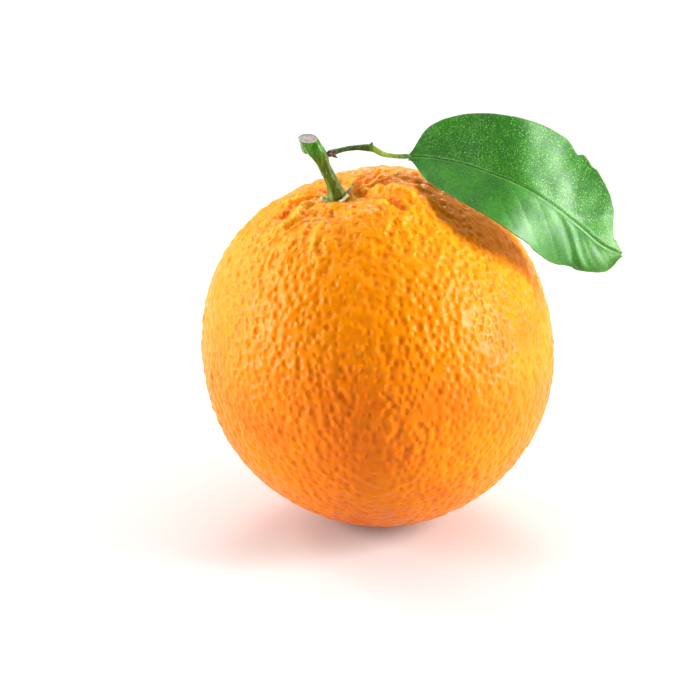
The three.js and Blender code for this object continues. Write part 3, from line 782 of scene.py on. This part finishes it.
def stem_material():
    n = Nodes("green_stem")
    along, cut, scar = n.attribute("along"), n.attribute("cut"), n.attribute("scar")
    stretched = n.vector("MULTIPLY", n.place(), (1.0, 1.0, 0.22))
    streak = n.fit(n.noise(1500, 3, 0.6, stretched), 0.35, 0.65)
    olive = n.mix(streak, (66, 84, 0), (94, 116, 0))
    fresh = n.mix(streak, (42, 98, 6), (78, 140, 22))
    foot = n.mix(streak, (96, 106, 30), (140, 144, 72))
    skin = n.mix(n.fit(along, 0.5, 0.66), olive, fresh)
    skin = n.mix(n.fit(along, 0.1, 0.0, 0.0, 0.7), skin, foot)
    speck = n.fit(n.cells(900), 0.12, 0.2, 1.0, 0.0)
    skin = n.mix(n.times(speck, 0.45), skin, (176, 178, 110))
    bruise = n.fit(n.noise(300, 4, 0.7), 0.62, 0.72)
    skin = n.mix(n.times(bruise, 0.5), skin, (70, 60, 26))
    skin = n.mix(scar, skin, n.mix(streak, (92, 110, 60), (150, 150, 120)))
    wood = n.mix(n.fit(n.noise(1900, 3, 0.7), 0.3, 0.7), (146, 136, 126), (190, 182, 172))
    wood = n.mix(n.fit(cut, 0.9, 0.97), wood, (72, 52, 40))
    on_cut = n.fit(cut, -0.5, -0.1)
    skin = n.mix(on_cut, skin, wood)
    dry_end = n.times(n.fit(along, 0.93, 0.99, 0.0, 0.6), n.fit(cut, -0.4, -0.6))
    skin = n.mix(dry_end, skin, (88, 66, 58))
    normal = n.bump(n.noise(2200, 3, 0.6, stretched), 0.05)
    return n.finish(
        base_color=skin,
        roughness=n.blend(on_cut, n.fit(along, 0.5, 0.7, 0.46, 0.27), 0.75),
        normal=n.bump(n.noise(700), 0.04, normal),
        specular_ior_level=0.25,
        subsurface_weight=0.08, subsurface_radius=(0.4, 0.8, 0.2), subsurface_scale=0.001,
    )


stem_side = spline(STEM_RADII, [NODE.share])[0] + NODE.swelling
twig_root = stem_node + TWIG_HEADING * (stem_side + GAP)
twig_route = Route([twig_root] + [np.array(point) + CENTRE for point in TWIG_ROUTE])


def twig_relief(share, turn):
    ribs = 0.035 * np.sin(3 * turn + 4 * share) + 0.02 * np.sin(7 * turn - 6 * share)
    return ribs + 0.05 * hill(share[:, None] - TWIG_RINGS, 0.008).sum(axis=1)


def make_twig():
    rows, around = 190, 32
    rng = np.random.default_rng(8)
    points, share = shaft(twig_route, TWIG_RADII, rows, around, twig_relief)
    points += 0.02 * ripples(points, 0.4, 1.2, rng)[:, None] * unit(0.1, -0.7, 0.7)
    start = twig_route.at([0.0]) - TWIG_SUNK.stem * TWIG_HEADING
    end = twig_route.at([1.0]) + TWIG_SUNK.leaf * twig_route.heading([1.0])
    points = np.concatenate([points, start, end])
    faces = outward(points, closed_shaft(rows, around))
    along = [share, [0.0, 1.0]]
    bud = twig_route.at([TWIG_BUD.share])[0] + BUD_LOOK.offset
    knobs = [(TWIG_BUD.radius * BUD_LOOK.girth, TWIG_BUD.length, bud, BUD_LOOK.pointing, 0.5)]
    knobs += [(radius, length, twig_root + at, unit(*way), 0.0) for radius, length, at, way in TWIG_SCALES]
    for radius, length, centre, pointing, counts_as in knobs:
        added, added_faces = knob(radius, length, centre, pointing, len(points), rng)
        points = np.concatenate([points, added])
        faces += outward(points, added_faces)
        along.append(np.full(len(added), counts_as))
    piece = make_piece("leaf_twig", points, faces, twig_material(), "twig", "twig")
    add_attribute(piece, "along", np.concatenate(along))


def twig_material():
    n = Nodes("twig_bark")
    along = n.attribute("along")
    mottle = n.fit(n.noise(1300, 3, 0.6), 0.35, 0.65)
    bark = n.mix(mottle, (40, 74, 8), (72, 104, 22))
    petiole = n.mix(mottle, (110, 146, 24), (156, 178, 64))
    leaf_end = n.mix(mottle, (66, 116, 26), (98, 146, 46))
    withered = n.mix(mottle, (74, 54, 46), (128, 106, 96))
    skin = n.mix(n.fit(along, 0.5, 0.62), bark, petiole)
    skin = n.mix(n.fit(along, 0.78, 0.98), skin, leaf_end)
    skin = n.mix(n.fit(along, 0.1, 0.02), skin, withered)
    speck = n.fit(n.cells(1500), 0.14, 0.22, 1.0, 0.0)
    return n.finish(
        base_color=n.mix(n.times(speck, 0.4), skin, (178, 176, 110)),
        roughness=n.fit(mottle, 0, 1, 0.4, 0.52),
        normal=n.bump(n.noise(2600, 3, 0.6), 0.05),
        specular_ior_level=0.35,
    )


# ---- The leaf ----

def leaf_width(share, side):
    width = spline(LEAF_UPPER_WIDTHS if side > 0 else LEAF_LOWER_WIDTHS, share)
    for notch, notch_side, depth in LEAF_NOTCHES:
        if notch_side == side:
            # A notch is steep towards the tip and eases off towards the base.
            past = share - notch
            width = width - depth * np.where(past > 0, hill(past, 0.012), hill(past, 0.035))
    teeth = 0.16 * (np.abs(np.sin(share * 34 + side)) - 0.6)
    width = width + teeth * smoothstep(share, 0.3, 0.7) * (1 - smoothstep(share, 0.93, 1))
    return np.maximum(width, 0.4)


def leaf_parts(share, across):
    """For points of the blade: their place on its smooth upper face, the way that it faces there, and how far
    aside of the midrib they lie."""
    step = 1e-3
    low = np.clip(share - step, 0, 1 - 2 * step)
    route = np.array(LEAF_ROUTE) + CENTRE
    heading = spline(route, low + 2 * step, True) - spline(route, low, True)
    heading /= np.linalg.norm(heading, axis=1, keepdims=True)
    sideways = np.cross(LEAF_FACING, heading)
    sideways /= np.linalg.norm(sideways, axis=1, keepdims=True)
    facing = np.cross(heading, sideways)
    side = np.where(across > 0, 1, -1)
    width = np.where(across > 0, leaf_width(share, 1), leaf_width(share, -1))
    aside = across * width
    fold = np.where(across > 0, LEAF_FOLD.upper, LEAF_FOLD.lower) * smoothstep(share, 0, 0.15)
    wave = np.sin(TAU * RUFFLE.waves * share + RUFFLE.turn + 1.7 * side)
    ruffle = RUFFLE.height * across**2 * smoothstep(share, 0.25, 0.9) * wave
    lift = ruffle + np.abs(aside) * np.sin(fold)
    place = spline(route, share, True) + (aside * np.cos(fold))[:, None] * sideways + lift[:, None] * facing
    return place, facing, aside


def leaf_relief(share, aside, place, start, to_vein, inside, rng):
    """How far the quilting, the groove, the veins and the creases stand up from the smooth upper face."""
    out = np.abs(aside)
    near_tip = smoothstep(share, 0.5, 0.75)
    quilting = (0.02 + 0.015 * near_tip) * (1 - 2 * hill(to_vein, 1.1)) * inside
    groove = -0.2 * hill(aside, 0.3) + 0.04 * hill(out - 0.55, 0.25)
    vein = -LEAF_VEINS.depth * hill(to_vein, LEAF_VEINS.width) * inside
    soft = 0.07 * ripples(place, 5, 12, rng) * smoothstep(out, 0.3, 3)
    creases = sum(
        height * hill(start - place_on_midrib, width) * (aside * side > 0) * inside
        for place_on_midrib, side, height, width in LEAF_CREASES
    )
    return quilting + groove + vein + soft + creases


def leaf_wave(share, aside):
    """How far each point of the blade swings out. The lower half swings less."""
    wave = spline(LEAF_WAVE, (share * LEAF_LENGTH + LEAF_WAVE_LEAN * np.maximum(aside, 0)) / LEAF_LENGTH)
    wave *= 1 - 0.35 * smoothstep(-aside, 0, 8)
    return wave - LEAF_TIP_CURL * smoothstep(share, 0.45, 0.8) * np.maximum(-aside, 0)


def grid_normals(points, rows, columns):
    """The way that each point of the blade faces, on its upper side."""
    grid = points.reshape(rows, columns, 3)
    normal = np.cross(np.gradient(grid, axis=0), np.gradient(grid, axis=1)).reshape(-1, 3)
    normal /= np.linalg.norm(normal, axis=1, keepdims=True)
    return normal if normal[len(normal) // 2] @ LEAF_FACING > 0 else -normal


def sheet_faces(rows, columns):
    """Faces of a sheet: an upper and a lower grid, and the band round its rim."""
    count = rows * columns
    faces = grid_faces(rows, columns, False)
    faces += [face[::-1] for face in grid_faces(rows, columns, False, count)]
    rim = [i * columns for i in range(rows)] + [(rows - 1) * columns + j for j in range(1, columns)]
    rim += [i * columns + columns - 1 for i in range(rows - 2, -1, -1)] + list(range(columns - 2, 0, -1))
    return faces + [(a, b, b + count, a + count) for a, b in zip(rim, rim[1:] + rim[:1])]


def make_leaf():
    rows, columns, gathering = 230, 93, 1.25  # the columns stand closer together at the midrib
    rng = np.random.default_rng(3)
    share, even = np.meshgrid(np.linspace(0, 1, rows), np.linspace(-1, 1, columns), indexing="ij")
    share, even = share.ravel(), even.ravel()
    across = np.sign(even) * np.abs(even) ** gathering
    place, facing, aside = leaf_parts(share, across)
    length = share * LEAF_LENGTH
    out = np.abs(aside)

    # Side veins leave the midrib by turns on its two sides and lean towards the tip.
    start = length - LEAF_VEINS.lean * out
    phase = start / LEAF_VEINS.spacing + np.where(aside > 0, 0.5, 0.0)
    to_vein = np.abs(phase - np.round(phase)) * LEAF_VEINS.spacing
    inside = smoothstep(out, 0.6, 2.0) * (1 - smoothstep(np.abs(across), 0.8, 1.0))
    relief = leaf_relief(share, aside, place, start, to_vein, inside, rng)
    upper = place + relief[:, None] * facing + leaf_wave(share, aside)[:, None] * LEAF_WAVE_HEADING

    rib = 0.75 * (1 - 0.8 * share) * hill(aside, 0.6) + 0.12 * hill(to_vein, 0.35) * inside
    edge = 1 - 0.6 * smoothstep(np.abs(across), 0.96, 1.0)
    under = upper - (LEAF_BLADE * edge + rib)[:, None] * grid_normals(upper, rows, columns)
    points = np.concatenate([upper, under])
    faces = outward(points, sheet_faces(rows, columns))
    piece = make_piece("leaf_blade", points, faces, leaf_material(), "leaf", "leaf")
    both_sides = (2, 1)
    add_attribute(piece, "vein_place", np.tile(np.stack([phase, out, share], axis=1), both_sides))
    add_attribute(piece, "blade_place", np.tile(np.stack([length, aside, 0 * aside], axis=1), both_sides))
    add_attribute(piece, "underside", np.repeat([0.0, 1.0], len(upper)))
    add_attribute(piece, "to_edge", np.tile(np.abs(across), 2))


def leaf_material():
    n = Nodes("leaf_skin")
    phase, out, share = n.node("SeparateXYZ", {0: n.attribute("vein_place", "Vector")}).outputs
    blade_place = n.attribute("blade_place", "Vector")
    aside = n.node("SeparateXYZ", {0: blade_place}).outputs["Y"]
    underside, to_edge = n.attribute("underside"), n.attribute("to_edge")
    to_vein = n.math("PINGPONG", phase, 0.5)
    vein = n.times(n.fit(to_vein, 0.02, 0.09, 1.0, 0.0), n.fit(out, 0.4, 1.2))
    midrib = n.fit(out, 0.08, 0.2, 1.0, 0.0)
    beside = n.times(n.fit(out, 0.15, 0.25), n.fit(out, 0.3, 0.55, 1.0, 0.0))
    mottle = n.fit(n.noise(190, 4, 0.6), 0.3, 0.7)
    fine = n.fit(n.noise(900, 3, 0.6), 0.3, 0.7)
    grain = n.fit(n.noise(1700, 2, 0.6), 0.42, 0.62)
    blade = n.mix(mottle, (26, 106, 0), (52, 138, 4))
    blade = n.mix(n.times(fine, 0.3), blade, (52, 124, 28))
    blade = n.mix(n.times(grain, 0.4), blade, (14, 74, 0))
    blade = n.mix(n.fit(share, 0.75, 1.0, 0.0, 0.4), blade, (88, 128, 24))
    blade = n.mix(n.fit(to_edge, 0.93, 1.0, 0.0, 0.4), blade, (78, 122, 36))
    blade = n.mix(n.times(vein, 0.08), blade, (90, 150, 60))
    # Painted highlight: a pale band along either flank of the midrib.
    blade = n.mix(n.times(beside, n.fit(share, 0.3, 0.9, 0.45, 0.15)), blade, (110, 172, 70))
    # Painted shade: the midrib's groove is drawn dark green, more strongly towards the tip.
    blade = n.mix(n.times(midrib, n.fit(share, 0.05, 0.35, 0.2, 0.6)), blade, (14, 70, 4))
    # Pale specks, fewer on the lower half.
    speck = n.fit(n.cells(2.1, blade_place, "2D"), 0.12, 0.36, 1.0, 0.0)
    speck = n.times(speck, n.fit(n.noise(700, 2, 0.7), 0.36, 0.64, 0.1, 1.0))
    speck = n.times(speck, n.fit(aside, -1.0, 0.5, 0.35, 1.0))
    blade = n.mix(n.times(speck, 0.52), blade, (156, 228, 104))
    back = n.mix(mottle, (112, 146, 72), (142, 172, 98))
    back = n.mix(n.times(vein, 0.6), back, (176, 196, 130))
    back = n.mix(n.fit(out, 0.3, 0.8, 0.8, 0.0), back, (184, 200, 132))
    normal = n.bump(speck, 0.03, n.bump(n.noise(2400, 3, 0.6), 0.03))
    return n.finish(
        base_color=n.mix(underside, blade, back),
        roughness=n.blend(underside, n.fit(fine, 0, 1, 0.4, 0.5), 0.6),
        normal=n.bump(n.times(vein, -1.0), LEAF_VEINS.depth, normal),
        subsurface_weight=0.12, subsurface_radius=(0.35, 0.9, 0.15), subsurface_scale=0.001,
        specular_ior_level=0.25, coat_weight=0.62, coat_roughness=0.55,
    )


# ---- Floor, light and camera ----

FLOOR = Sizes(half=6.0, drop=0.0002, paint=(0.66, 0.66, 0.66, 1.0), glow=0.6, glow_from=0.34, glow_to=0.72)
# Each softbox: the way to it from the fruit's centre, its distance, width and height, and its power in watts.
SOFTBOXES = dict(
    key=((0.93, -0.19, 0.31), 0.55, 0.11, 0.38, 6.3),
    left=((-0.98, -0.12, 0.15), 0.47, 0.12, 0.34, 3.4),
    left_back=((-0.75, 0.45, 0.48), 0.5, 0.06, 0.3, 1.0),
    back=((0.0, 0.8, 0.58), 0.6, 0.24, 0.07, 1.35),
    overhead=((0.0, 0.3, 0.95), 1.6, 3.0, 2.4, 19.8),
)
# White walls behind and beside the fruit, and a darker room in front: how a heading's Y sets their strength.
ROOM = {"From Min": -0.4, "From Max": 0.5, "To Min": 0.05, "To Max": 0.45}
WHITE = (1.0, 1.0, 1.0, 1.0)
CAMERA = Sizes(elevation=20.0, distance=456.0, lens=100.0, sensor=36.0, right=-6.52, down=0.73)


def floor_material():
    """Pale paint. Away from the fruit, where the softboxes don't reach, it glows like a lit white sweep."""
    n = Nodes("floor_paint")
    glow = n.fit(n.vector("LENGTH", n.place()), FLOOR.glow_from, FLOOR.glow_to, 0.0, FLOOR.glow)
    return n.finish(base_color=FLOOR.paint, roughness=0.8, emission_color=WHITE, emission_strength=glow)


def make_floor():
    mesh = bpy.data.meshes.new("floor")
    half = FLOOR.half
    corners = [(-half, -half, 0), (half, -half, 0), (half, half, 0), (-half, half, 0)]
    mesh.from_pydata(corners, [], [range(4)])
    mesh.materials.append(floor_material())
    floor = bpy.data.objects.new("floor", mesh)
    floor.location.z = -FLOOR.drop
    bpy.context.collection.objects.link(floor)


def aim(thing, place, target):
    thing.location = place
    thing.rotation_euler = (Vector(target) - Vector(place)).to_track_quat("-Z", "Y").to_euler()


def make_softbox(name, heading, distance, width, height, power):
    """A softbox that faces the fruit's centre."""
    light = bpy.data.lights.new(name, "AREA")
    light.shape = "RECTANGLE"
    light.size, light.size_y, light.energy = width, height, power
    softbox = bpy.data.objects.new(name, light)
    middle = CENTRE * MM
    aim(softbox, middle + unit(*heading) * distance, middle)
    bpy.context.collection.objects.link(softbox)


def make_room():
    room = bpy.data.worlds.new("studio")
    bpy.context.scene.world = room
    room.use_nodes = True
    nodes, links = room.node_tree.nodes, room.node_tree.links
    heading = nodes.new("ShaderNodeSeparateXYZ")
    links.new(nodes.new("ShaderNodeTexCoord").outputs["Generated"], heading.inputs[0])
    strength = nodes.new("ShaderNodeMapRange")
    strength.interpolation_type = "SMOOTHSTEP"
    for name, value in ROOM.items():
        strength.inputs[name].default_value = value
    links.new(heading.outputs["Y"], strength.inputs["Value"])
    links.new(strength.outputs["Result"], nodes["Background"].inputs["Strength"])
    nodes["Background"].inputs["Color"].default_value = WHITE


def make_camera():
    elevation = math.radians(CAMERA.elevation)
    up = np.array([0.0, math.sin(elevation), math.cos(elevation)])
    back = np.array([0.0, -math.cos(elevation), math.sin(elevation)])
    target = CENTRE + (CAMERA.right, 0.0, 0.0) - CAMERA.down * up
    data = bpy.data.cameras.new("camera")
    data.lens, data.sensor_width = CAMERA.lens, CAMERA.sensor
    data.clip_start, data.clip_end = 0.01, 20.0
    camera = bpy.data.objects.new("camera", data)
    aim(camera, (target + back * CAMERA.distance) * MM, target * MM)
    bpy.context.collection.objects.link(camera)
    bpy.context.scene.camera = camera


make_rind()
make_calyx()
make_stem()
make_twig()
make_leaf()
make_floor()
for name, softbox in SOFTBOXES.items():
    make_softbox(name + "_softbox", *softbox)
make_room()
make_camera()
bpy.context.scene.view_settings.view_transform = "Standard"

bpy.context.view_layer.update()
